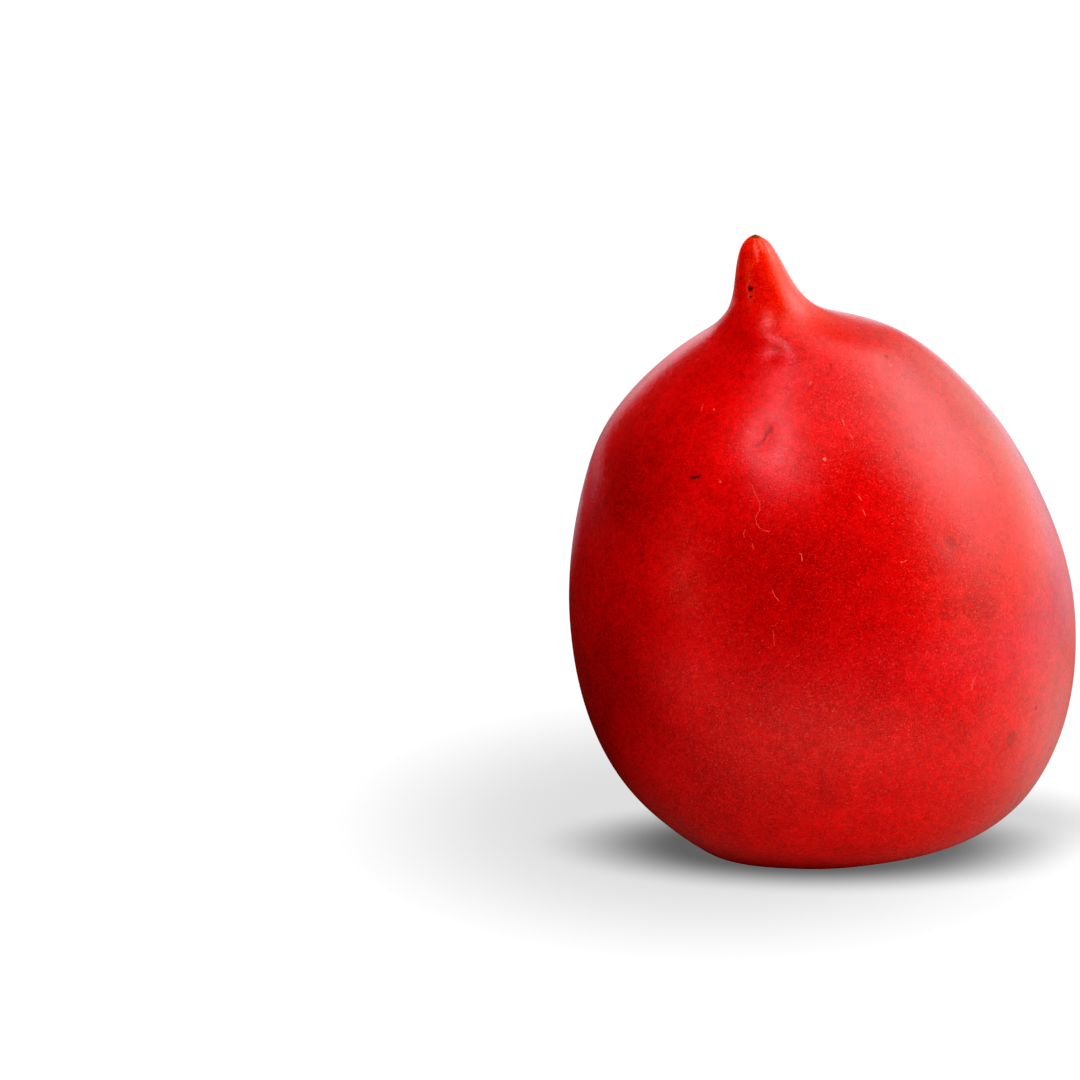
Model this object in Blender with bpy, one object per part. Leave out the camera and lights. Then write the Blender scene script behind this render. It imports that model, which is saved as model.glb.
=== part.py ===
"""A principe borghese tomato: a small plum tomato with a pointed tip, the beak.

Metres, +Z up. The fruit stands on its stalk end, on z = 0, with its beak up, and
the origin is the middle of its underside. It grew as one piece, so it is one
solid: the body, the beak and, underneath, a shallow basin that holds the corky
scar of the stalk.
"""

import math

import bmesh
import bpy
from mathutils import Matrix, Vector

MM = 0.001

# Control rings from the bottom of the basin, round the outside, to the tip. Each
# is (radius, height, right, back) in millimetres: its centre stands that far to
# the right (+X) and to the back (+Y) of the widest ring's. The surface is the
# smooth B-spline through these rings, so it passes a little inside the outer ones.
SCAR_RINGS = (
    (0.8, 2.5, -2.0, 0.5),
    (1.4, 2.0, -2.0, 0.5),
    (2.2, 2.0, -2.0, 0.5),
    (2.7, 2.4, -2.0, 0.5),
)
BASIN_RINGS = (
    (3.2, 1.9, -2.0, 0.5),
    (3.8, 0.7, -2.0, 0.5),
)
# Rings at height 0 make the flat seat that the fruit rests on.
SEAT_RINGS = (
    (4.5, 0.0, -2.0, 0.5),
    (5.2, 0.0, -2.0, 0.5),
    (5.9, 0.0, -2.0, 0.5),
    (6.6, 0.0, -2.0, 0.5),
    (7.3, 0.0, -2.0, 0.5),
)
BODY_RINGS = (
    (8.2, 0.3, -1.6, 0.4),
    (10.8, 1.5, -0.4, 0.1),
    (13.8, 3.2, 0.7, -0.2),
    (16.1, 5.6, 0.5, -0.1),
    (18.3, 10.4, 0.3, -0.1),
    (19.1, 17.1, 0.0, 0.0),
    (18.6, 22.9, -0.4, 0.1),
    (16.7, 28.7, -1.2, 0.3),
    (14.7, 33.0, -1.7, 0.3),
    (10.4, 37.7, -1.8, 0.0),
    (7.0, 40.2, -1.7, -1.2),
)
# The beak stands left of the middle and towards the front, so that the body runs
# up to it in a steep cone there and in a shallow shoulder on the other side.
BEAK_RINGS = (
    (5.0, 41.2, -3.1, -2.3),
    (3.1, 42.3, -4.2, -2.9),
    (2.2, 44.2, -4.8, -3.1),
    (1.7, 46.0, -5.2, -3.2),
    (1.1, 47.4, -5.4, -3.2),
)
SCAR_PIT = (0.0, 2.6, -2.0, 0.5)
BEAK_TIP = (0.0, 48.1, -5.5, -3.2)

# The cross-section departs from a circle by these shares of its radius, and each
# wave has a crest at its angle in degrees from +X.
OVAL, OVAL_ANGLE = 0.012, 20
THIRD, THIRD_ANGLE = 0.008, 70
# Oval and third fade to a round beak between these heights, in millimetres.
ROUND_FROM, ROUND_TO = 34.0, 42.0
# Shallow lobes at the stalk end die away at the height LOBES_END.
LOBES, LOBE, LOBE_ANGLE = 5, 0.022, 14
LOBES_END = 24.0

# Points round each control ring, and how often the surface is halved.
RING_POINTS = 32
LEVELS = 1

SKIN_COLOUR = (0.56, 0.012, 0.008, 1.0)
SKIN_ROUGHNESS = 0.38
SKIN_GLOW = 0.15
SKIN_GLOW_RADIUS = (4.0 * MM, 0.8 * MM, 0.4 * MM)


def clear_scene():
    """Removes every object that is already in the scene."""
    for old in list(bpy.data.objects):
        bpy.data.objects.remove(old)


def ease(value, start, end):
    """0 at start, 1 at end, and a smooth step between."""
    share = min(1.0, max(0.0, (value - start) / (end - start)))
    return share * share * (3 - 2 * share)


def wave(angle, crests, first_crest):
    """A cosine with so many crests round the fruit, the first at that angle."""
    return math.cos(crests * (angle - math.radians(first_crest)))


def section(angle, height):
    """Radius of the cross-section at an angle, as a share of its ring's radius."""
    body = 1 - ease(height, ROUND_FROM, ROUND_TO)
    lobes = 1 - ease(height, 0, LOBES_END)
    oval = body * OVAL * wave(angle, 2, OVAL_ANGLE)
    third = body * THIRD * wave(angle, 3, THIRD_ANGLE)
    return 1 + oval + third + lobes * LOBE * wave(angle, LOBES, LOBE_ANGLE)


def ring_centre(ring):
    """Centre of a control ring, in metres."""
    _, height, right, back = ring
    return Vector((right, back, height)) * MM


def ring_points(ring):
    """Points of a control ring, set out so far that the surface has its radius."""
    radius, height, _, _ = ring
    centre = ring_centre(ring)
    step = 2 * math.pi / RING_POINTS
    outset = 6 / (4 + 2 * math.cos(step))
    points = []
    for index in range(RING_POINTS):
        angle = index * step
        reach = radius * outset * section(angle, height) * MM
        points.append(centre + Vector((math.cos(angle), math.sin(angle), 0)) * reach)
    return points


def fill_between(bm, lower, upper):
    """Joins two rings of vertices with quads that face out of the fruit."""
    for index in range(RING_POINTS):
        after = (index + 1) % RING_POINTS
        bm.faces.new((lower[index], lower[after], upper[after], upper[index]))


def close_with_fan(bm, ring, pole, upwards):
    """Closes a ring with triangles that meet in a pole."""
    for index in range(RING_POINTS):
        after = (index + 1) % RING_POINTS
        corners = (ring[index], ring[after], pole)
        bm.faces.new(corners if upwards else corners[::-1])


def fruit_cage():
    """The mesh of control rings that the smooth skin follows."""
    rings = SCAR_RINGS + BASIN_RINGS + SEAT_RINGS + BODY_RINGS + BEAK_RINGS
    bm = bmesh.new()
    loops = [[bm.verts.new(point) for point in ring_points(ring)] for ring in rings]
    for lower, upper in zip(loops, loops[1:]):
        fill_between(bm, lower, upper)
    close_with_fan(bm, loops[0], bm.verts.new(ring_centre(SCAR_PIT)), upwards=False)
    close_with_fan(bm, loops[-1], bm.verts.new(ring_centre(BEAK_TIP)), upwards=True)
    cage = bpy.data.meshes.new("tomato")
    bm.to_mesh(cage)
    bm.free()
    return cage


def smooth_skin(fruit):
    """Rounds the cage off to its B-spline surface."""
    subdivision = fruit.modifiers.new("skin", "SUBSURF")
    subdivision.levels = LEVELS
    subdivision.render_levels = LEVELS
    subdivision.use_limit_surface = True
    fruit.data.shade_smooth()


def centre_over_origin(fruit):
    """Moves the cage so that the smooth fruit's box is centred on the Z axis."""
    graph = bpy.context.evaluated_depsgraph_get()
    skin = fruit.evaluated_get(graph)
    points = [vertex.co for vertex in skin.to_mesh().vertices]
    across = [point.x for point in points]
    deep = [point.y for point in points]
    middle = Vector((min(across) + max(across), min(deep) + max(deep), 0)) / 2
    skin.to_mesh_clear()
    fruit.data.transform(Matrix.Translation(-middle))


def skin_material():
    """Ripe red tomato skin: waxy, with a little light passing under it."""
    skin = bpy.data.materials.new("skin")
    skin.use_nodes = True
    skin.diffuse_color = SKIN_COLOUR
    shader = skin.node_tree.nodes["Principled BSDF"]
    shader.inputs["Base Color"].default_value = SKIN_COLOUR
    shader.inputs["Roughness"].default_value = SKIN_ROUGHNESS
    shader.inputs["Metallic"].default_value = 0.0
    shader.inputs["Subsurface Weight"].default_value = SKIN_GLOW
    shader.inputs["Subsurface Radius"].default_value = SKIN_GLOW_RADIUS
    shader.inputs["Subsurface Scale"].default_value = 1.0
    return skin


def main():
    clear_scene()
    fruit = bpy.data.objects.new("tomato", fruit_cage())
    bpy.context.collection.objects.link(fruit)
    fruit.data.materials.append(skin_material())
    smooth_skin(fruit)
    centre_over_origin(fruit)


main()
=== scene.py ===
"""A principe borghese tomato that stands on its stalk end with its beak up.

Metres, +Z up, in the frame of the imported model: the camera stands on the -Y side.
The fruit is one piece. Its skin is drawn again here from the same control rings
as the solid, with finer faces, relief and a procedural material.
"""

import math

import bmesh
import bpy
from mathutils import Matrix, Vector, noise

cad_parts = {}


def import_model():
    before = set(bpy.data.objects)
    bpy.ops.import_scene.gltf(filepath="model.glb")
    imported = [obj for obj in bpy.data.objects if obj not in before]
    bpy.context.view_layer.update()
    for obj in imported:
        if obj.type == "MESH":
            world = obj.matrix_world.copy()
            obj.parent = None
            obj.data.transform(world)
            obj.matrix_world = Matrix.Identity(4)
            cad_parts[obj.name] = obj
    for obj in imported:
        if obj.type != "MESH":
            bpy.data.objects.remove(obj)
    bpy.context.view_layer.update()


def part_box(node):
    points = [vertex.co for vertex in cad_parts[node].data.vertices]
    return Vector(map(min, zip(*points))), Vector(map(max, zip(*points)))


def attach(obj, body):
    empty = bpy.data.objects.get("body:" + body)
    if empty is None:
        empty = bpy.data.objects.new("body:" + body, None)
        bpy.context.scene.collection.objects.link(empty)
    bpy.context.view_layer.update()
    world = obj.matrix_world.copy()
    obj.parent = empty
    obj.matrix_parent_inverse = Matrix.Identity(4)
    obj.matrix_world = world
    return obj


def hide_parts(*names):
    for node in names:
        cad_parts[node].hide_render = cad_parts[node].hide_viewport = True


MM = 0.001

# Control rings of the fruit, each (radius, height, right, back) in millimetres,
# from the stalk scar round the outside to the beak. Those of the body and the beak
# came from a scratch program's least-squares fit to the photograph's outline, rounded
# to 0.1 mm, and some were then changed by hand.
SCAR_RINGS = (
    (0.8, 2.5, -2.0, 0.5),
    (1.4, 2.0, -2.0, 0.5),
    (2.2, 2.0, -2.0, 0.5),
    (2.7, 2.4, -2.0, 0.5),
)
BASIN_RINGS = (
    (3.2, 1.9, -2.0, 0.5),
    (3.8, 0.7, -2.0, 0.5),
)
SEAT_RINGS = (
    (4.5, 0.0, -2.0, 0.5),
    (5.2, 0.0, -2.0, 0.5),
    (5.9, 0.0, -2.0, 0.5),
    (6.6, 0.0, -2.0, 0.5),
    (7.3, 0.0, -2.0, 0.5),
)
BODY_RINGS = (
    (8.2, 0.3, -1.6, 0.4),
    (10.8, 1.5, -0.4, 0.1),
    (13.8, 3.2, 0.7, -0.2),
    (16.1, 5.6, 0.5, -0.1),
    (18.3, 10.4, 0.3, -0.1),
    (19.1, 17.1, 0.0, 0.0),
    (18.6, 22.9, -0.4, 0.1),
    (16.7, 28.7, -1.2, 0.3),
    (14.7, 33.0, -1.7, 0.3),
    (10.4, 37.7, -1.8, 0.0),
    (7.0, 40.2, -1.7, -1.2),
)
BEAK_RINGS = (
    (5.0, 41.2, -3.1, -2.3),
    (3.1, 42.3, -4.2, -2.9),
    (2.2, 44.2, -4.8, -3.1),
    (1.7, 46.0, -5.2, -3.2),
    (1.1, 47.4, -5.4, -3.2),
)
SCAR_PIT = (0.0, 2.6, -2.0, 0.5)
BEAK_TIP = (0.0, 48.1, -5.5, -3.2)

# The cross-section departs from a circle by these shares of its radius, and each
# wave has a crest at its angle in degrees from +X.
OVAL, OVAL_ANGLE = 0.012, 20
THIRD, THIRD_ANGLE = 0.008, 70
# Oval and third fade to a round beak between these heights, in millimetres.
ROUND_FROM, ROUND_TO = 34.0, 42.0
# Shallow lobes at the stalk end die away at the height LOBES_END.
LOBES, LOBE, LOBE_ANGLE = 5, 0.022, 14
LOBES_END = 24.0
# Points round each control ring, and how often the surface is halved.
RING_POINTS = 32
LEVELS = 3

# The camera: how high it looks from, how far off it is, and how far it is turned
# from the fruit's middle so that the fruit stands where it does in the photograph.
# VIEW_TURN and VIEW_DOWN came from the same fit as the rings.
VIEW_ELEVATION = 16.0
VIEW_DISTANCE = 0.4
VIEW_MIDDLE = Vector((0.17, -0.16, 24.0)) * MM
VIEW_TURN = 3.195
VIEW_DOWN = 16.05
LENS = 177.5
SENSOR = 36.0
NEAREST, FARTHEST = 0.01, 20.0

# Relief of the skin. It only goes inwards, so the skin stays inside the solid, and
# it comes in between these heights above the table, to keep the seat flat.
RELIEF_FROM, RELIEF_TO = 0.1, 1.2
# Swells are (size, depth) in millimetres.
SWELLS = ((9.0, 0.05), (4.0, 0.03), (1.5, 0.008))
# Dents in the front are (right, height, radius, depth) in millimetres. Beyond
# DENT_REACH of its radii a dent no longer counts.
DENTS = (
    (-3.7, 40.2, 0.8, 0.10),
    (-4.5, 35.0, 1.1, 0.12),
    (9.2, 27.6, 0.7, 0.07),
    (-9.3, 32.0, 0.5, 0.05),
    (4.4, 39.2, 0.8, 0.05),
)
DENT_REACH = 3
# The corky stalk scar, in millimetres. It has cracks that run out from its middle
# and wander a little, and crumbs between them.
CORK_MIDDLE, CORK_HEIGHT = Vector((-1.83, 0.34)), 2.2
CORK_RADIUS, CORK_TOP = 2.7, 4.0
CRACKS, CRACK_DEPTH, CRACK_SHARPNESS = 9, 0.18, 6
CRACK_SIZE, CRACK_WANDER = 0.9, 0.5
CRUMB_SIZE = 0.35
CRACK_SHARE, CRUMB_SHARE = 0.7, 0.4
# The shares of the scar's radius between which its cracks and its colour fade.
CRACKS_FADE, CORK_FADE = (0.8, 1.1), (0.9, 1.1)
# The dry end of the beak, in millimetres, with the wrinkles that run down from it
# and fade between two distances.
TIP = Vector((-5.3, -3.5, 47.9))
TIP_RADIUS, TIP_CORE = 0.42, 0.25
WRINKLES, WRINKLE_DEPTH = 11, 0.03
WRINKLE_SIZE, WRINKLE_WANDER = 1.2, 3.0
WRINKLES_FROM, WRINKLES_TO = 0.5, 3.5

# Colours of the skin, linear.
RIPE = (0.67, 0.004, 0.003, 1)
DEEP = (0.55, 0.003, 0.003, 1)
# The beak's own orange red, made lighter than the body's as painted glow of light through
# the thin beak.
BEAK_RED_AND_PAINTED_GLOW = (0.76, 0.026, 0.002, 1)
BLOTCH = (0.47, 0.001, 0.001, 1)
FROST = (0.80, 0.085, 0.080, 1)
CORK = (0.30, 0.17, 0.07, 1)
DRY_TIP = (0.10, 0.05, 0.012, 1)
DARK = (0.07, 0.006, 0.003, 1)
BROWN = (0.22, 0.014, 0.006, 1)
SCAR = (0.22, 0.003, 0.003, 1)
PALE = (0.82, 0.15, 0.11, 1)
FLECK = (0.85, 0.13, 0.07, 1)

# Noise lies between 0 and 1 and mostly between these.
NOISE_LOW, NOISE_HIGH = 0.3, 0.7
# The ripe red turns to the deep one in patches of this size in millimetres, as the
# noise goes from the first value to the second.
DEEP_SIZE, DEEP_FROM, DEEP_TO = 11, 0.35, 0.70
# The beak's own red, made lighter as painted glow of light through the thin beak, comes
# in between these heights, in millimetres.
BEAK_FROM, BEAK_TO = 40.0, 45.5
# Painted light and painted shade round places on the front of the skin: the red
# deepens (below 1) where shade falls, as on the left flank, and lightens (above 1) under
# the gloss and towards the bottom, as (right, height, radius, share) in millimetres.
# A scratch program fitted 14 of the 19 shares to the photograph by least squares, and
# turned places picked in it into millimetres. The other rows, and later corrections,
# were given one by one.
PAINTED_LIGHT_AND_SHADE = (
    (-16.5, 14.0, 20.0, 0.59), (-17.2, 21.0, 6.0, 1.15), (-14.5, 30.5, 8.0, 0.63),
    (-12.8, 9.4, 6.0, 1.40), (-9.4, 17.8, 6.0, 1.25), (-3.7, 25.6, 9.0, 0.72),
    (-3.6, 17.7, 6.0, 0.90), (-2.4, 36.6, 11.0, 1.19), (-2.4, 8.6, 7.0, 0.86),
    (2.7, 24.9, 8.0, 0.86), (6.9, 38.2, 9.0, 0.88), (8.0, 10.5, 13.0, 1.17),
    (3.0, 4.5, 13.0, 1.22), (14.0, 13.0, 8.0, 1.14), (16.0, 8.5, 7.0, 1.22),
    (11.0, 3.8, 7.0, 1.18), (12.1, 33.4, 9.0, 0.80), (17.2, 23.5, 8.0, 0.88),
    (15.8, 29.5, 6.0, 0.82),
)
# Unevenness of the red, from lumps to fine grain, as (size in millimetres, detail,
# darkest, lightest).
MOTTLES = (
    (2.2, 3.0, 0.92, 1.06), (0.8, 1.0, 0.92, 1.06), (0.35, 1.0, 0.88, 1.10),
    (0.12, 1.0, 0.81, 1.17),
)
# Pale bloom in fine grains of this size in millimetres, where the noise is high.
FROST_SIZE, FROST_FROM, FROST_TO = 0.10, 0.46, 0.92
# Tiny flecks: how far apart and how big they are in millimetres, the share of their
# places that is taken, the share of the radius that is even, and their strength.
FLECK_SPACING, FLECK_RADIUS = 1.1, 0.07
FLECKS_TAKEN, FLECK_CORE, FLECK_STRENGTH = 0.45, 0.4, 0.7

# Marks on the front of the skin, in millimetres to the right and up. Spots are
# (right, height, radius, strength).
DARK_SPOTS = (
    (-5.6, 44.3, 0.22, 1.0),
    (-5.6, 43.7, 0.11, 0.9),
    (-6.3, 44.9, 0.10, 0.7),
    (-12.7, 32.4, 0.30, 0.35),
    (4.4, 39.5, 0.18, 0.6),
    (15.8, 14.2, 0.20, 0.4),
    (17.1, 9.5, 0.20, 0.4),
    (-13.2, 26.0, 0.20, 0.4),
    (-5.9, 24.5, 0.12, 0.4),
)
BROWN_SPOTS = (
    (9.2, 27.6, 0.50, 0.45),
    (14.0, 12.5, 0.60, 0.40),
    (-3.7, 40.4, 0.25, 0.4),
)
PALE_SPOTS = (
    (4.7, 39.0, 0.16, 0.8),
    (-8.1, 36.3, 0.12, 0.8),
    (-7.5, 31.9, 0.10, 0.7),
    (0.0, 33.7, 0.16, 0.9),
    (-1.1, 38.4, 0.12, 0.6),
    (15.5, 25.6, 0.12, 0.6),
)
BLOTCHES = (
    (9.1, 23.2, 0.8, 0.6),
    (10.7, 23.2, 1.0, 0.7),
    (12.1, 22.9, 1.1, 0.8),
    (11.7, 15.7, 1.2, 0.6),
    (8.6, 14.4, 2.6, 0.45),
    (1.0, 9.8, 1.6, 0.5),
    (5.0, 10.6, 1.6, 0.4),
    (14.0, 12.5, 0.9, 0.5),
    (5.7, 39.0, 1.6, 0.25),
)
# Lines are (width, strength, points).
DARK_LINES = (
    (0.16, 1.0, ((-9.65, 31.85), (-9.35, 31.9), (-9.0, 32.05))),
)
SCAR_LINES = (
    (0.34, 0.65, ((-3.9, 35.5), (-4.05, 35.25))),
    (0.16, 0.8, ((-4.05, 35.25), (-4.3, 35.0), (-4.5, 34.6))),
    (0.30, 0.55, ((-4.5, 34.6), (-4.9, 34.4))),
)
PALE_LINES = (
    (0.20, 0.25, ((-5.3, 47.3), (-5.2, 46.8), (-5.1, 46.3))),
    (0.05, 0.55, (
        (-5.2, 31.9), (-5.0, 31.4), (-4.8, 31.1), (-4.6, 30.7), (-4.6, 30.3),
        (-4.8, 30.0), (-4.9, 29.7), (-4.8, 29.3), (-4.6, 29.1), (-4.3, 28.95),
        (-3.9, 28.9),
    )),
    (0.07, 0.8, ((-1.7, 27.5), (-1.55, 27.45), (-1.5, 27.0))),
    (0.06, 0.7, ((-3.6, 24.9), (-3.4, 24.5), (-3.1, 24.2))),
    (0.06, 0.7, ((2.5, 31.3), (2.7, 31.0))),
    (0.06, 0.6, ((2.8, 30.4), (3.0, 30.0))),
    (0.08, 0.7, ((3.2, 38.1), (3.4, 37.9))),
    (0.06, 0.6, ((10.6, 33.7), (10.9, 33.3))),
    (0.06, 0.6, ((-5.6, 28.9), (-5.75, 28.65), (-5.7, 28.4))),
    (0.06, 0.6, ((-5.1, 28.0), (-5.0, 27.7))),
    (0.05, 0.5, ((-3.5, 22.1), (-3.45, 21.6), (-3.4, 21.0))),
    (0.06, 0.6, ((11.1, 18.0), (10.95, 17.6), (10.9, 17.1))),
    (0.06, 0.6, ((1.2, 36.2), (1.4, 35.8))),
    (0.06, 0.6, ((1.8, 35.2), (2.0, 34.9))),
    (0.06, 0.5, ((11.6, 30.1), (11.8, 29.7))),
    (0.07, 0.7, ((-8.9, 36.5), (-9.0, 36.1))),
    (0.05, 0.5, ((5.6, 26.7), (6.0, 26.8))),
    (0.05, 0.5, ((6.6, 29.4), (6.8, 29.1))),
)
# A mark fades between these shares of its radius or width.
SPOT_EDGE, SPOT_CORE = 1.15, 0.7
LINE_EDGE, LINE_CORE = 0.9, 0.2
# Noise of one size roughens the edges of marks by up to half the other, as (size,
# reach) in millimetres.
BLOTCH_SHAKE, SPOT_SHAKE, SCAR_SHAKE = (0.9, 1.1), (0.25, 0.25), (0.3, 0.45)
# A place well in front of the fruit, from which marks are sought, in millimetres.
IN_FRONT = -60.0

# The finish of the skin: its roughness goes from one value to the other over lumps
# of this size in millimetres, and marks and cork are dull.
SMOOTH, LESS_SMOOTH, DULL = 0.25, 0.30, 0.75
SMOOTH_SIZE = 1.8
# How strongly it shines, and the share of that for each colour: it shines redder
# than what it reflects. The tint was fitted to the photograph, then changed.
GLOSS, GLOSS_TINT = 0.85, (1.0, 0.55, 0.56, 1)
# How much light passes under the skin of the body and of the beak, and how far it
# goes, in metres, for each colour.
GLOW_BODY, GLOW_BEAK = 0.2, 0.35
GLOW_RADIUS = (4 * MM, 0.6 * MM, 0.4 * MM)
# Pores: their size and their depth, in millimetres.
PORE_SIZE, PORE_DEPTH = 0.13, 0.009

# The brightnesses of the light, the lamps and the table's glow started from scratch
# programs' least-squares fits of trial renders to the photograph, and were then
# corrected by hand.

# The light all round the fruit. Azimuth 0 is the camera's side and 90 is +X, in
# degrees. It is low in front and at the left, and it rises to the right as the
# cosine of the angle from RIGHT_AZIMUTH goes from one value to the other.
AROUND = 0.10
RIGHT_RISE, RIGHT_AZIMUTH = (0.75, 0.75, 0.67), 105
RIGHT_FROM, RIGHT_TO = 0.25, 0.8
# What the camera sees behind the fruit: a white that is bright enough to clip.
BACKDROP = 1.05
# Soft round glows in the light, as (azimuth, elevation, degrees evenly bright, degrees in
# all, brightness), each group under its colour.
WINDOW = (1.0, 0.99, 0.96)
WINDOW_GLOWS = (
    (70, 33, 3, 16, 0.40), (85, 33, 5, 22, 1.25), (103, 33, 5, 22, 1.45),
    (120, 32, 5, 22, 1.15), (75, 54, 5, 25, 0.20), (100, 57, 5, 25, 0.35),
    (130, 52, 5, 25, 0.15), (90, 70, 8, 37, 1.05),
)
WALL = (1.0, 0.98, 0.84)
WALL_GLOWS = (
    (75, 5, 5, 25, 0.50), (105, 5, 5, 25, 0.45), (138, 0, 5, 25, 0.75),
    (45, 10, 5, 25, 0.12), (15, 5, 5, 25, 0.15), (-64, 0, 3, 14, 1.10),
    (-62, 14, 3, 12, 0.55), (-48, 5, 3, 16, 0.50),
)
DAYLIGHT = (0.93, 0.96, 1.05)
DAYLIGHT_GLOWS = (
    (-10, 60, 2, 10, 0.15), (-24, 58, 2, 9, 2.80), (-33, 56, 2, 9, 1.40),
    (-52, 54, 3, 17, 0.82), (-20, 47, 2, 12, 1.45), (-26, 36, 2, 10, 0.95),
    (-4, 46, 3, 14, 1.00), (155, 35, 5, 30, 0.08), (-170, 5, 5, 20, 1.20),
)
# Lamps that lighten the skin but don't shine in its gloss, as (name, azimuth,
# elevation, width, height, radiance), with sizes in metres.
LAMP_DISTANCE = 0.6
LAMP_AIM = Vector((0, 0, 0.024))
LAMPS = (
    ("front", 30, 10, 0.50, 0.30, 0.5),
    ("front_high", -10, 60, 0.40, 0.30, 3.6),
    ("above", 0, 85, 0.50, 0.50, 1.2),
    ("left_behind", -150, 15, 0.40, 0.40, 5.0),
)

# The table, and its glow for all but the camera. The glow starts from TABLE_LOW.
# Rises are (azimuth, from, to, gain) in metres, and ovals are (right, back, half
# width, half depth, share of it that is evenly bright, gain) in millimetres.
TABLE_SIZE = 6.0
TABLE_LOW = 0.08
TABLE_RISES = (
    (30, -0.02, 0.02, 0.50), (105, 0.05, 0.12, 0.75), (180, 0.13, 0.30, 0.45),
)
TABLE_OVALS = (
    (60.0, 0.0, 55.0, 60.0, 0.2, 0.50),
    (10.0, -30.0, 60.0, 35.0, 0.2, 0.36),
    (5.0, -65.0, 70.0, 50.0, 0.3, 0.42),
    (-75.0, -45.0, 50.0, 45.0, 0.2, 0.62),
    (60.0, 85.0, 60.0, 60.0, 0.2, 0.38),
    (45.0, 45.0, 35.0, 35.0, 0.3, 0.20),
    (32.0, 14.0, 22.0, 24.0, 0.2, 0.12),
    (-20.0, 115.0, 75.0, 50.0, 0.3, 0.55),
)
# The glow turns from the near tint to the far one between these distances from the
# fruit's middle, in metres.
NEAR_TINT, FAR_TINT = (1.0, 1.0, 0.93, 1), (0.94, 0.96, 1.08, 1)
FAR_FROM, FAR_TO = 0.06, 0.12
# How far the table looks for something over it, in metres, to darken its glow, and
# with how many rays.
SHADE_REACH, SHADE_RAYS = 0.03, 8
# The fruit's soft shadow, as ovals of (right, back, half width, half depth, share of
# it that is evenly dark, darkness), in millimetres. The first two are a least-squares
# fit to the photograph's shadow, and the third was given separately.
SHADES = (
    (-0.8, -1.6, 21.7, 11.2, 0.44, 0.80),
    (-9.0, 4.0, 34.6, 37.6, 0.29, 0.30),
    (14.0, 5.0, 13.0, 10.0, 0.20, 0.28),
)

# The tone curve: (given, shown). It deepens the weakest channels, as the
# photograph does, and leaves the rest alone. It is the curve for all three colours.
TONES = (
    (0.02, 0.001), (0.04, 0.006), (0.07, 0.03), (0.12, 0.09), (0.2, 0.18), (0.5, 0.5),
)
ALL_COLOURS = 3


def ease(value, start, end):
    """0 at start, 1 at end, and a smooth step between."""
    share = min(1.0, max(0.0, (value - start) / (end - start)))
    return share * share * (3 - 2 * share)


def wave(angle, crests, first_crest):
    """A cosine with so many crests round the fruit, the first at that angle."""
    return math.cos(crests * (angle - math.radians(first_crest)))


def section(angle, height):
    """Radius of the cross-section at an angle, as a share of its ring's radius."""
    body = 1 - ease(height, ROUND_FROM, ROUND_TO)
    lobes = 1 - ease(height, 0, LOBES_END)
    oval = body * OVAL * wave(angle, 2, OVAL_ANGLE)
    third = body * THIRD * wave(angle, 3, THIRD_ANGLE)
    return 1 + oval + third + lobes * LOBE * wave(angle, LOBES, LOBE_ANGLE)


def ring_centre(ring):
    """Centre of a control ring, in metres."""
    _, height, right, back = ring
    return Vector((right, back, height)) * MM


def ring_points(ring):
    """Points of a control ring, set out so far that the surface has its radius."""
    radius, height, _, _ = ring
    centre = ring_centre(ring)
    step = 2 * math.pi / RING_POINTS
    outset = 6 / (4 + 2 * math.cos(step))
    points = []
    for index in range(RING_POINTS):
        angle = index * step
        reach = radius * outset * section(angle, height) * MM
        points.append(centre + Vector((math.cos(angle), math.sin(angle), 0)) * reach)
    return points


def fill_between(bm, lower, upper):
    """Joins two rings of vertices with quads that face out of the fruit."""
    for index in range(RING_POINTS):
        after = (index + 1) % RING_POINTS
        bm.faces.new((lower[index], lower[after], upper[after], upper[index]))


def close_with_fan(bm, ring, pole, upwards):
    """Closes a ring with triangles that meet in a pole."""
    for index in range(RING_POINTS):
        after = (index + 1) % RING_POINTS
        corners = (ring[index], ring[after], pole)
        bm.faces.new(corners if upwards else corners[::-1])


def fruit_cage():
    """The mesh of control rings that the smooth skin follows."""
    rings = SCAR_RINGS + BASIN_RINGS + SEAT_RINGS + BODY_RINGS + BEAK_RINGS
    bm = bmesh.new()
    loops = [[bm.verts.new(point) for point in ring_points(ring)] for ring in rings]
    for lower, upper in zip(loops, loops[1:]):
        fill_between(bm, lower, upper)
    close_with_fan(bm, loops[0], bm.verts.new(ring_centre(SCAR_PIT)), upwards=False)
    close_with_fan(bm, loops[-1], bm.verts.new(ring_centre(BEAK_TIP)), upwards=True)
    cage = bpy.data.meshes.new("fruit_cage")
    bm.to_mesh(cage)
    bm.free()
    return cage


def smooth_mesh(cage_mesh):
    """A mesh rounded off to its smooth surface."""
    cage = bpy.data.objects.new("fruit_cage", cage_mesh)
    bpy.context.collection.objects.link(cage)
    subdivision = cage.modifiers.new("skin", "SUBSURF")
    subdivision.levels = LEVELS
    subdivision.render_levels = LEVELS
    graph = bpy.context.evaluated_depsgraph_get()
    smooth = bpy.data.meshes.new_from_object(cage.evaluated_get(graph))
    bpy.data.objects.remove(cage)
    return smooth


def fruit_mesh():
    """The smooth surface of the fruit, set over the middle of the solid."""
    skin = smooth_mesh(fruit_cage())
    across = [vertex.co.x for vertex in skin.vertices]
    deep = [vertex.co.y for vertex in skin.vertices]
    low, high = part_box("tomato")
    middle = (low + high) / 2
    to_right = middle.x - (min(across) + max(across)) / 2
    to_back = middle.y - (min(deep) + max(deep)) / 2
    skin.transform(Matrix.Translation(Vector((to_right, to_back, 0))))
    return skin


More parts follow.
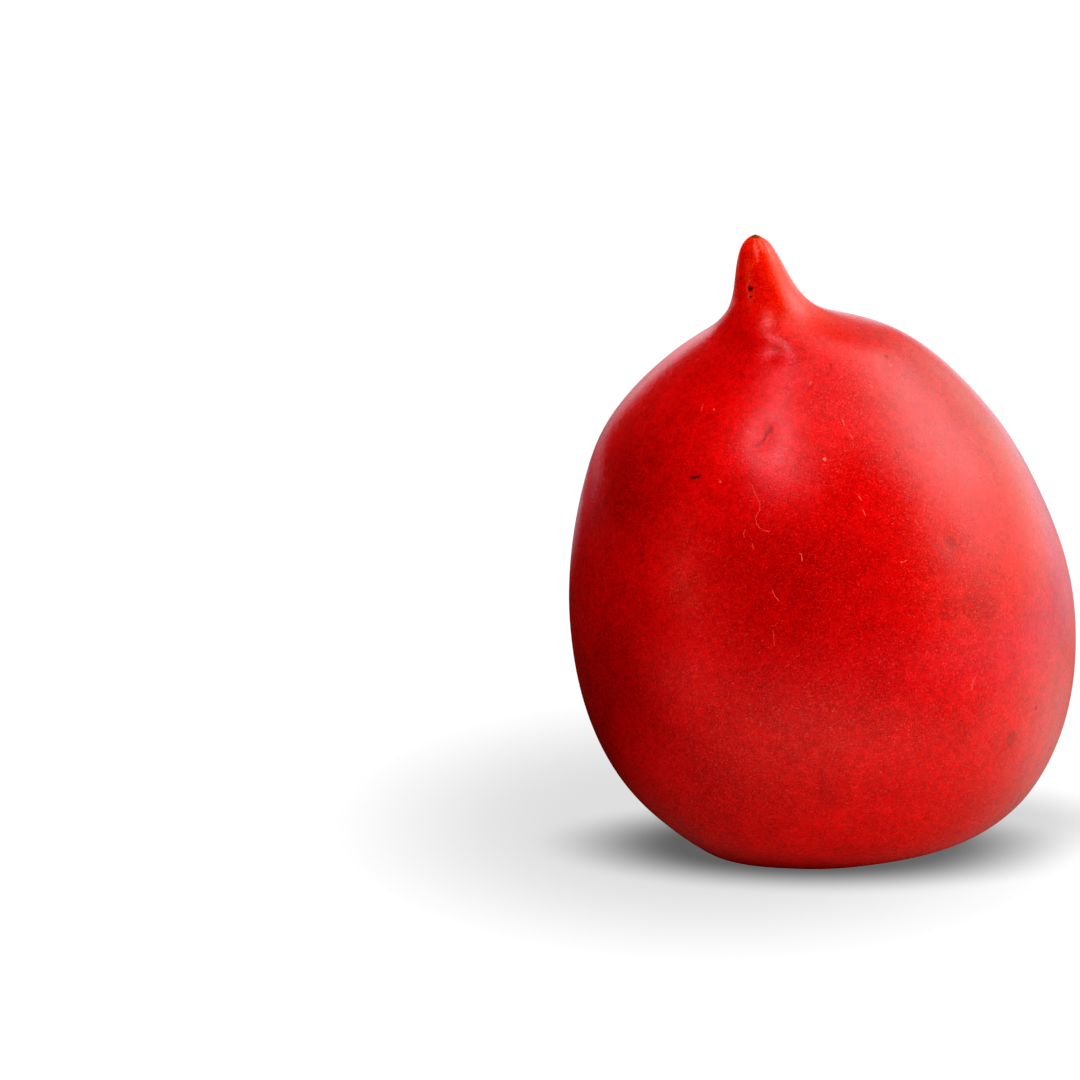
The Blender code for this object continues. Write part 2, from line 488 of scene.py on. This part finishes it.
def on_front(skin, right, height):
    """The place on the front of the skin at so many millimetres right and up."""
    start = Vector((right, IN_FRONT, height)) * MM
    _, place, _, _ = skin.ray_cast(start, Vector((0, 1, 0)))
    return place


def lumps(point, size):
    """Noise between 0 and 1 at a point, with lumps of so many millimetres."""
    return 0.5 + 0.5 * noise.noise(point / (size * MM))


def swell_depth(point):
    """Depth of the uneven skin at a point, in millimetres."""
    return sum(depth * lumps(point, size) for size, depth in SWELLS)


def dent_depth(point, dents):
    """Depth of the dents at a point, in millimetres."""
    depth = 0.0
    for place, radius, deepest in dents:
        far = (point - place).length / radius
        if far < DENT_REACH:
            depth += deepest * math.exp(-far * far)
    return depth


def cork_depth(point):
    """Depth of the cracks in the corky scar, in millimetres."""
    outward = point.xy / MM - CORK_MIDDLE
    start, end = CRACKS_FADE
    cork = 1 - ease(outward.length, CORK_RADIUS * start, CORK_RADIUS * end)
    if cork == 0 or point.z > CORK_TOP * MM:
        return 0.0
    wander = CRACK_WANDER * noise.noise(point / (CRACK_SIZE * MM))
    turn = math.atan2(outward.y, outward.x) + wander
    crack = (1 - abs(math.sin(CRACKS / 2 * turn))) ** CRACK_SHARPNESS
    crumbs = lumps(point, CRUMB_SIZE)
    return cork * CRACK_DEPTH * (CRACK_SHARE * crack + CRUMB_SHARE * crumbs)


def beak_depth(point):
    """Depth of the wrinkles that run down from the beak's dry end, in millimetres."""
    outward = point / MM - TIP
    near = 1 - ease(outward.length, WRINKLES_FROM, WRINKLES_TO)
    if near == 0:
        return 0.0
    wander = WRINKLE_WANDER * noise.noise(point / (WRINKLE_SIZE * MM))
    turn = WRINKLES * math.atan2(outward.y, outward.x) + wander
    return near * WRINKLE_DEPTH * (0.5 + 0.5 * math.sin(turn))


def add_relief(skin):
    """Presses the skin inwards by its swells, dents, cracks and wrinkles."""
    mesh = skin.data
    dents = []
    for right, height, radius, depth in DENTS:
        dents.append((on_front(skin, right, height), radius * MM, depth))
    normals = [normal.vector.copy() for normal in mesh.vertex_normals]
    for vertex, normal in zip(mesh.vertices, normals):
        point = vertex.co.copy()
        depth = swell_depth(point) + cork_depth(point) + beak_depth(point)
        depth += dent_depth(point, dents)
        depth *= ease(point.z, RELIEF_FROM * MM, RELIEF_TO * MM)
        vertex.co = point - normal * (depth * MM)


class Graph:
    """Adds nodes to a shader one by one, joined to those before.

    Inputs go by number where a node has several of the same name.
    """

    def __init__(self, tree):
        self.tree = tree

    def add(self, kind, inputs, output=0, **settings):
        """Adds a node, feeds its inputs and returns one of its outputs."""
        node = self.tree.nodes.new("ShaderNode" + kind)
        for name, value in settings.items():
            setattr(node, name, value)
        for name, value in inputs.items():
            self.feed(node.inputs[name], value)
        return node.outputs[output]

    def feed(self, socket, value):
        """Joins an output to a socket, or sets the socket to a value."""
        if isinstance(value, bpy.types.NodeSocket):
            self.tree.links.new(value, socket)
        else:
            socket.default_value = value

    def math(self, operation, first, second):
        return self.add("Math", {0: first, 1: second}, operation=operation)

    def sum(self, first, second):
        return self.math("ADD", first, second)

    def difference(self, first, second):
        return self.math("SUBTRACT", first, second)

    def product(self, first, second):
        return self.math("MULTIPLY", first, second)

    def highest(self, first, *others):
        for other in others:
            first = self.math("MAXIMUM", first, other)
        return first

    def vectors(self, operation, first, second, output="Vector"):
        inputs = {0: first, 1: second}
        return self.add("VectorMath", inputs, output=output, operation=operation)

    def plus(self, first, second):
        return self.vectors("ADD", first, second)

    def minus(self, first, second):
        return self.vectors("SUBTRACT", first, second)

    def distance(self, first, second):
        return self.vectors("DISTANCE", first, second, "Value")

    def dot(self, first, second):
        return self.vectors("DOT_PRODUCT", first, second, "Value")

    def scaled(self, vector, amount):
        """A vector or a colour times a number."""
        return self.add("VectorMath", {0: vector, "Scale": amount}, operation="SCALE")

    def ease(self, value, start, end, low=0.0, high=1.0):
        """A smooth step from low at start to high at end."""
        inputs = {0: value, 1: start, 2: end, 3: low, 4: high}
        return self.add("MapRange", inputs, interpolation_type="SMOOTHSTEP")

    def noise(self, place, size, detail=2.0, output=0):
        """Noise between 0 and 1 with lumps of so many millimetres."""
        inputs = {"Vector": place, "Scale": 1 / (size * MM), "Detail": detail}
        return self.add("TexNoise", inputs, output=output)

    def colour(self, amount, first, second):
        """Turns the first colour into the second by the amount."""
        inputs = {0: amount, 6: first, 7: second}
        return self.add("Mix", inputs, output=2, data_type="RGBA")

    def number(self, amount, first, second):
        """Turns the first number into the second by the amount."""
        return self.add("Mix", {0: amount, 2: first, 3: second}, data_type="FLOAT")


def spots(graph, skin, place, marks):
    """How much a point lies in any of the round marks."""
    covered = 0.0
    for right, height, radius, strength in marks:
        far = graph.distance(place, on_front(skin, right, height))
        edge, core = radius * SPOT_EDGE * MM, radius * SPOT_CORE * MM
        covered = graph.highest(covered, graph.ease(far, edge, core, 0, strength))
    return covered


def stretch_distance(graph, place, start, end):
    """How far a point lies from a straight stretch between two places."""
    step = end - start
    from_start = graph.minus(place, start)
    along = graph.dot(from_start, step / step.length_squared)
    share = graph.add("Clamp", {0: along})
    return graph.distance(from_start, graph.scaled(step, share))


def lines(graph, skin, place, marks):
    """How much a point lies in any of the lines."""
    covered = 0.0
    for width, strength, points in marks:
        edge, core = width * LINE_EDGE * MM, width * LINE_CORE * MM
        bends = [on_front(skin, right, height) for right, height in points]
        for start, end in zip(bends, bends[1:]):
            far = stretch_distance(graph, place, start, end)
            covered = graph.highest(covered, graph.ease(far, edge, core, 0, strength))
    return covered


def flecks(graph, place):
    """How much a point lies in any of the tiny flecks strewn over the skin."""
    strewn = {"Vector": place, "Scale": 1 / (FLECK_SPACING * MM)}
    far = graph.add("TexVoronoi", strewn)
    pick = graph.add("TexVoronoi", strewn, output="Color")
    chance = graph.add("SeparateColor", {0: pick}, output="Red")
    chosen = graph.math("LESS_THAN", chance, FLECKS_TAKEN)
    reach = FLECK_RADIUS / FLECK_SPACING
    fleck = graph.product(chosen, graph.ease(far, reach, reach * FLECK_CORE))
    return graph.product(FLECK_STRENGTH, fleck)


def shaken(graph, place, size, reach):
    """The place moved about by noise, to roughen the edges of marks."""
    centred = graph.minus(graph.noise(place, size, output="Color"), (0.5, 0.5, 0.5))
    return graph.plus(place, graph.scaled(centred, reach * MM))


def grain_and_painted_light(graph, skin, place):
    """How light the red is at a point, about 1: its lumps, its grain, and painted light
    and shade.
    """
    tone = 1.0
    for size, detail, darkest, lightest in MOTTLES:
        mottle = graph.noise(place, size, detail)
        share = graph.ease(mottle, NOISE_LOW, NOISE_HIGH, darkest, lightest)
        tone = graph.product(tone, share)
    # Painted shade deepens the red and painted light lightens it round these places.
    for right, height, radius, share in PAINTED_LIGHT_AND_SHADE:
        far = graph.distance(place, on_front(skin, right, height))
        tone = graph.product(tone, graph.ease(far, radius * MM, 0.0, 1.0, share))
    return tone


def skin_red(graph, skin, place, beak):
    """The red of the skin, with its patches, painted light and shade, bloom and flecks,
    and the beak's red with its painted glow.
    """
    patch = graph.ease(graph.noise(place, DEEP_SIZE), DEEP_FROM, DEEP_TO)
    colour = graph.colour(patch, RIPE, DEEP)
    blotch = spots(graph, skin, shaken(graph, place, *BLOTCH_SHAKE), BLOTCHES)
    colour = graph.colour(blotch, colour, BLOTCH)
    # The beak's own red, made lighter as painted glow of light through the beak.
    colour = graph.colour(beak, colour, BEAK_RED_AND_PAINTED_GLOW)
    # Lumps, grain, painted light and painted shade scale the red.
    colour = graph.scaled(colour, grain_and_painted_light(graph, skin, place))
    frost = graph.ease(graph.noise(place, FROST_SIZE, 1.0), FROST_FROM, FROST_TO)
    colour = graph.colour(frost, colour, FROST)
    return graph.colour(flecks(graph, place), colour, FLECK)


def dry_tip(graph, place):
    """How much a point lies in the dry end of the beak."""
    return graph.ease(graph.distance(place, TIP * MM), TIP_RADIUS * MM, TIP_CORE * MM)


def cork(graph, place):
    """How much a point lies in the corky scar."""
    core, edge = CORK_FADE
    middle = Vector((*CORK_MIDDLE, CORK_HEIGHT)) * MM
    far = graph.distance(place, middle)
    return graph.ease(far, CORK_RADIUS * edge * MM, CORK_RADIUS * core * MM)


def marked(graph, skin, place, colour):
    """The colour with the marks over it, and how much a point lies in a dull one."""
    rough = shaken(graph, place, *SPOT_SHAKE)
    brown = spots(graph, skin, rough, BROWN_SPOTS)
    scar = lines(graph, skin, shaken(graph, place, *SCAR_SHAKE), SCAR_LINES)
    pale = graph.highest(
        spots(graph, skin, rough, PALE_SPOTS),
        lines(graph, skin, place, PALE_LINES),
    )
    dark = graph.highest(
        spots(graph, skin, rough, DARK_SPOTS),
        lines(graph, skin, rough, DARK_LINES),
    )
    dry = dry_tip(graph, rough)
    corky = cork(graph, rough)
    coats = (
        (brown, BROWN), (scar, SCAR), (pale, PALE), (dark, DARK), (dry, DRY_TIP),
        (corky, CORK),
    )
    for amount, paint in coats:
        colour = graph.colour(amount, colour, paint)
    return colour, graph.highest(corky, dry, dark, pale)


def skin_material(skin):
    """Ripe skin: red and waxy, mottled, with its marks, the cork and the beak's end."""
    paint = bpy.data.materials.new("tomato_skin")
    paint.use_nodes = True
    shader = paint.node_tree.nodes["Principled BSDF"]
    graph = Graph(paint.node_tree)
    place = graph.add("TexCoord", {}, output="Object")
    height = graph.add("SeparateXYZ", {0: place}, output="Z")
    beak = graph.ease(height, BEAK_FROM * MM, BEAK_TO * MM)
    colour, dull = marked(graph, skin, place, skin_red(graph, skin, place, beak))
    uneven = graph.noise(place, SMOOTH_SIZE)
    smooth = graph.ease(uneven, NOISE_LOW, NOISE_HIGH, SMOOTH, LESS_SMOOTH)
    pores = {
        "Height": graph.noise(place, PORE_SIZE, 1.0),
        "Strength": 1.0,
        "Distance": PORE_DEPTH * MM,
    }
    finish = {
        "Base Color": colour,
        "Roughness": graph.number(dull, smooth, DULL),
        "Subsurface Weight": graph.number(beak, GLOW_BODY, GLOW_BEAK),
        "Subsurface Radius": GLOW_RADIUS,
        "Subsurface Scale": 1.0,
        "Specular IOR Level": GLOSS,
        "Specular Tint": GLOSS_TINT,
        "Normal": graph.add("Bump", pores),
    }
    for name, value in finish.items():
        graph.feed(shader.inputs[name], value)
    return paint


def make_fruit():
    """The fruit's skin, which takes the place of the solid in the picture."""
    fruit = bpy.data.objects.new("tomato_skin", fruit_mesh())
    bpy.context.collection.objects.link(fruit)
    bpy.context.view_layer.update()
    add_relief(fruit)
    bpy.context.view_layer.update()
    fruit.data.shade_smooth()
    fruit.data.materials.append(skin_material(fruit))
    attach(fruit, "root")
    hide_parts("tomato")


def towards(azimuth, elevation):
    """The direction at an azimuth, 0 for the camera's side and 90 for +X, and height."""
    turn, rise = math.radians(azimuth), math.radians(elevation)
    flat = Vector((math.sin(turn), -math.cos(turn), 0)) * math.cos(rise)
    return flat + Vector((0, 0, math.sin(rise)))


def oval(graph, place, shape):
    """A soft oval on the table: its amount in the middle, and 0 beyond its edge."""
    right, back, wide, deep, even, amount = shape
    middle = Vector((right, back, 0)) * MM
    reach = Vector((wide, deep, 1)) * MM
    share = graph.vectors("DIVIDE", graph.minus(place, middle), reach)
    far = graph.add("VectorMath", {0: share}, output="Value", operation="LENGTH")
    return graph.ease(far, 1.0, even, 0.0, amount)


def table_glow(graph, place):
    """How brightly the table glows for all but the camera."""
    glow = TABLE_LOW
    for azimuth, start, end, gain in TABLE_RISES:
        across = graph.dot(place, towards(azimuth, 0))
        glow = graph.sum(glow, graph.ease(across, start, end, 0, gain))
    for shape in TABLE_OVALS:
        glow = graph.sum(glow, oval(graph, place, shape))
    reach = {"Distance": SHADE_REACH}
    open_sky = graph.add("AmbientOcclusion", reach, output="AO", samples=SHADE_RAYS)
    return graph.product(glow, open_sky)


def table_shown(graph, place):
    """How bright the camera sees the table: white but for the fruit's shadow."""
    shown = BACKDROP
    for shape in SHADES:
        left = graph.difference(1.0, oval(graph, place, shape))
        shown = graph.product(shown, left)
    return shown


def table_material():
    """White that glows of itself, so that it throws no red light about."""
    paint = bpy.data.materials.new("floor")
    paint.use_nodes = True
    nodes = paint.node_tree.nodes
    nodes.remove(nodes["Principled BSDF"])
    graph = Graph(paint.node_tree)
    place = graph.add("TexCoord", {}, output="Object")
    seen = graph.add("LightPath", {}, output="Is Camera Ray")
    level = graph.number(seen, table_glow(graph, place), table_shown(graph, place))
    away = graph.ease(graph.distance(place, (0, 0, 0)), FAR_FROM, FAR_TO)
    tint = graph.colour(away, NEAR_TINT, FAR_TINT)
    tint = graph.colour(seen, tint, (1, 1, 1, 1))
    light = graph.add("Emission", {"Color": tint, "Strength": level})
    graph.feed(nodes["Material Output"].inputs["Surface"], light)
    return paint


def make_floor():
    """The table that the fruit stands on."""
    bpy.ops.mesh.primitive_plane_add(size=TABLE_SIZE, location=(0, 0, 0))
    floor = bpy.context.object
    floor.name = "floor"
    floor.data.materials.append(table_material())


def add_lamp(name, azimuth, elevation, width, height, radiance):
    """A soft lamp aimed at the fruit that neither the camera nor the gloss sees."""
    light = bpy.data.lights.new(name, "AREA")
    light.shape = "RECTANGLE"
    light.size = width
    light.size_y = height
    light.energy = radiance * math.pi * width * height
    lamp = bpy.data.objects.new(name, light)
    bpy.context.collection.objects.link(lamp)
    outward = towards(azimuth, elevation)
    lamp.location = LAMP_AIM + outward * LAMP_DISTANCE
    lamp.rotation_euler = outward.to_track_quat("Z", "Y").to_euler()
    lamp.visible_glossy = False
    lamp.visible_camera = False


def glows(graph, way, colour, places):
    """The light of soft round glows of one colour."""
    total = 0.0
    for azimuth, elevation, even, whole, brightness in places:
        near = graph.dot(way, towards(azimuth, elevation))
        edge, core = math.cos(math.radians(whole)), math.cos(math.radians(even))
        total = graph.sum(total, graph.ease(near, edge, core, 0.0, brightness))
    return graph.scaled(colour, total)


def make_world():
    """The light round the fruit, and a white backdrop for the camera."""
    world = bpy.data.worlds.new("studio")
    bpy.context.scene.world = world
    world.use_nodes = True
    graph = Graph(world.node_tree)
    way = graph.add("TexCoord", {}, output="Generated")
    aside = graph.dot(way, towards(RIGHT_AZIMUTH, 0))
    light = (AROUND, AROUND, AROUND)
    light = graph.plus(
        light, graph.scaled(RIGHT_RISE, graph.ease(aside, RIGHT_FROM, RIGHT_TO))
    )
    light = graph.plus(light, glows(graph, way, WINDOW, WINDOW_GLOWS))
    light = graph.plus(light, glows(graph, way, WALL, WALL_GLOWS))
    light = graph.plus(light, glows(graph, way, DAYLIGHT, DAYLIGHT_GLOWS))
    backdrop = (BACKDROP, BACKDROP, BACKDROP, 1)
    seen = graph.add("LightPath", {}, output="Is Camera Ray")
    sky = world.node_tree.nodes["Background"]
    graph.feed(sky.inputs["Color"], graph.colour(seen, light, backdrop))
    sky.inputs["Strength"].default_value = 1.0


def make_camera():
    """A camera in front of the fruit and a little above it."""
    lens = bpy.data.cameras.new("camera")
    lens.lens = LENS
    lens.sensor_width = SENSOR
    lens.clip_start = NEAREST
    lens.clip_end = FARTHEST
    camera = bpy.data.objects.new("camera", lens)
    bpy.context.collection.objects.link(camera)
    camera.location = VIEW_MIDDLE + towards(0, VIEW_ELEVATION) * VIEW_DISTANCE
    camera.rotation_euler = (math.radians(90 - VIEW_DOWN), 0, math.radians(VIEW_TURN))
    bpy.context.scene.camera = camera


def set_tone():
    """Shows colours as they are but for the tone curve."""
    view = bpy.context.scene.view_settings
    view.view_transform = "Standard"
    view.use_curve_mapping = True
    for given, shown in TONES:
        view.curve_mapping.curves[ALL_COLOURS].points.new(given, shown)
    view.curve_mapping.update()


def main():
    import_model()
    make_fruit()
    make_floor()
    make_world()
    for lamp in LAMPS:
        add_lamp(*lamp)
    make_camera()
    set_tone()


main()
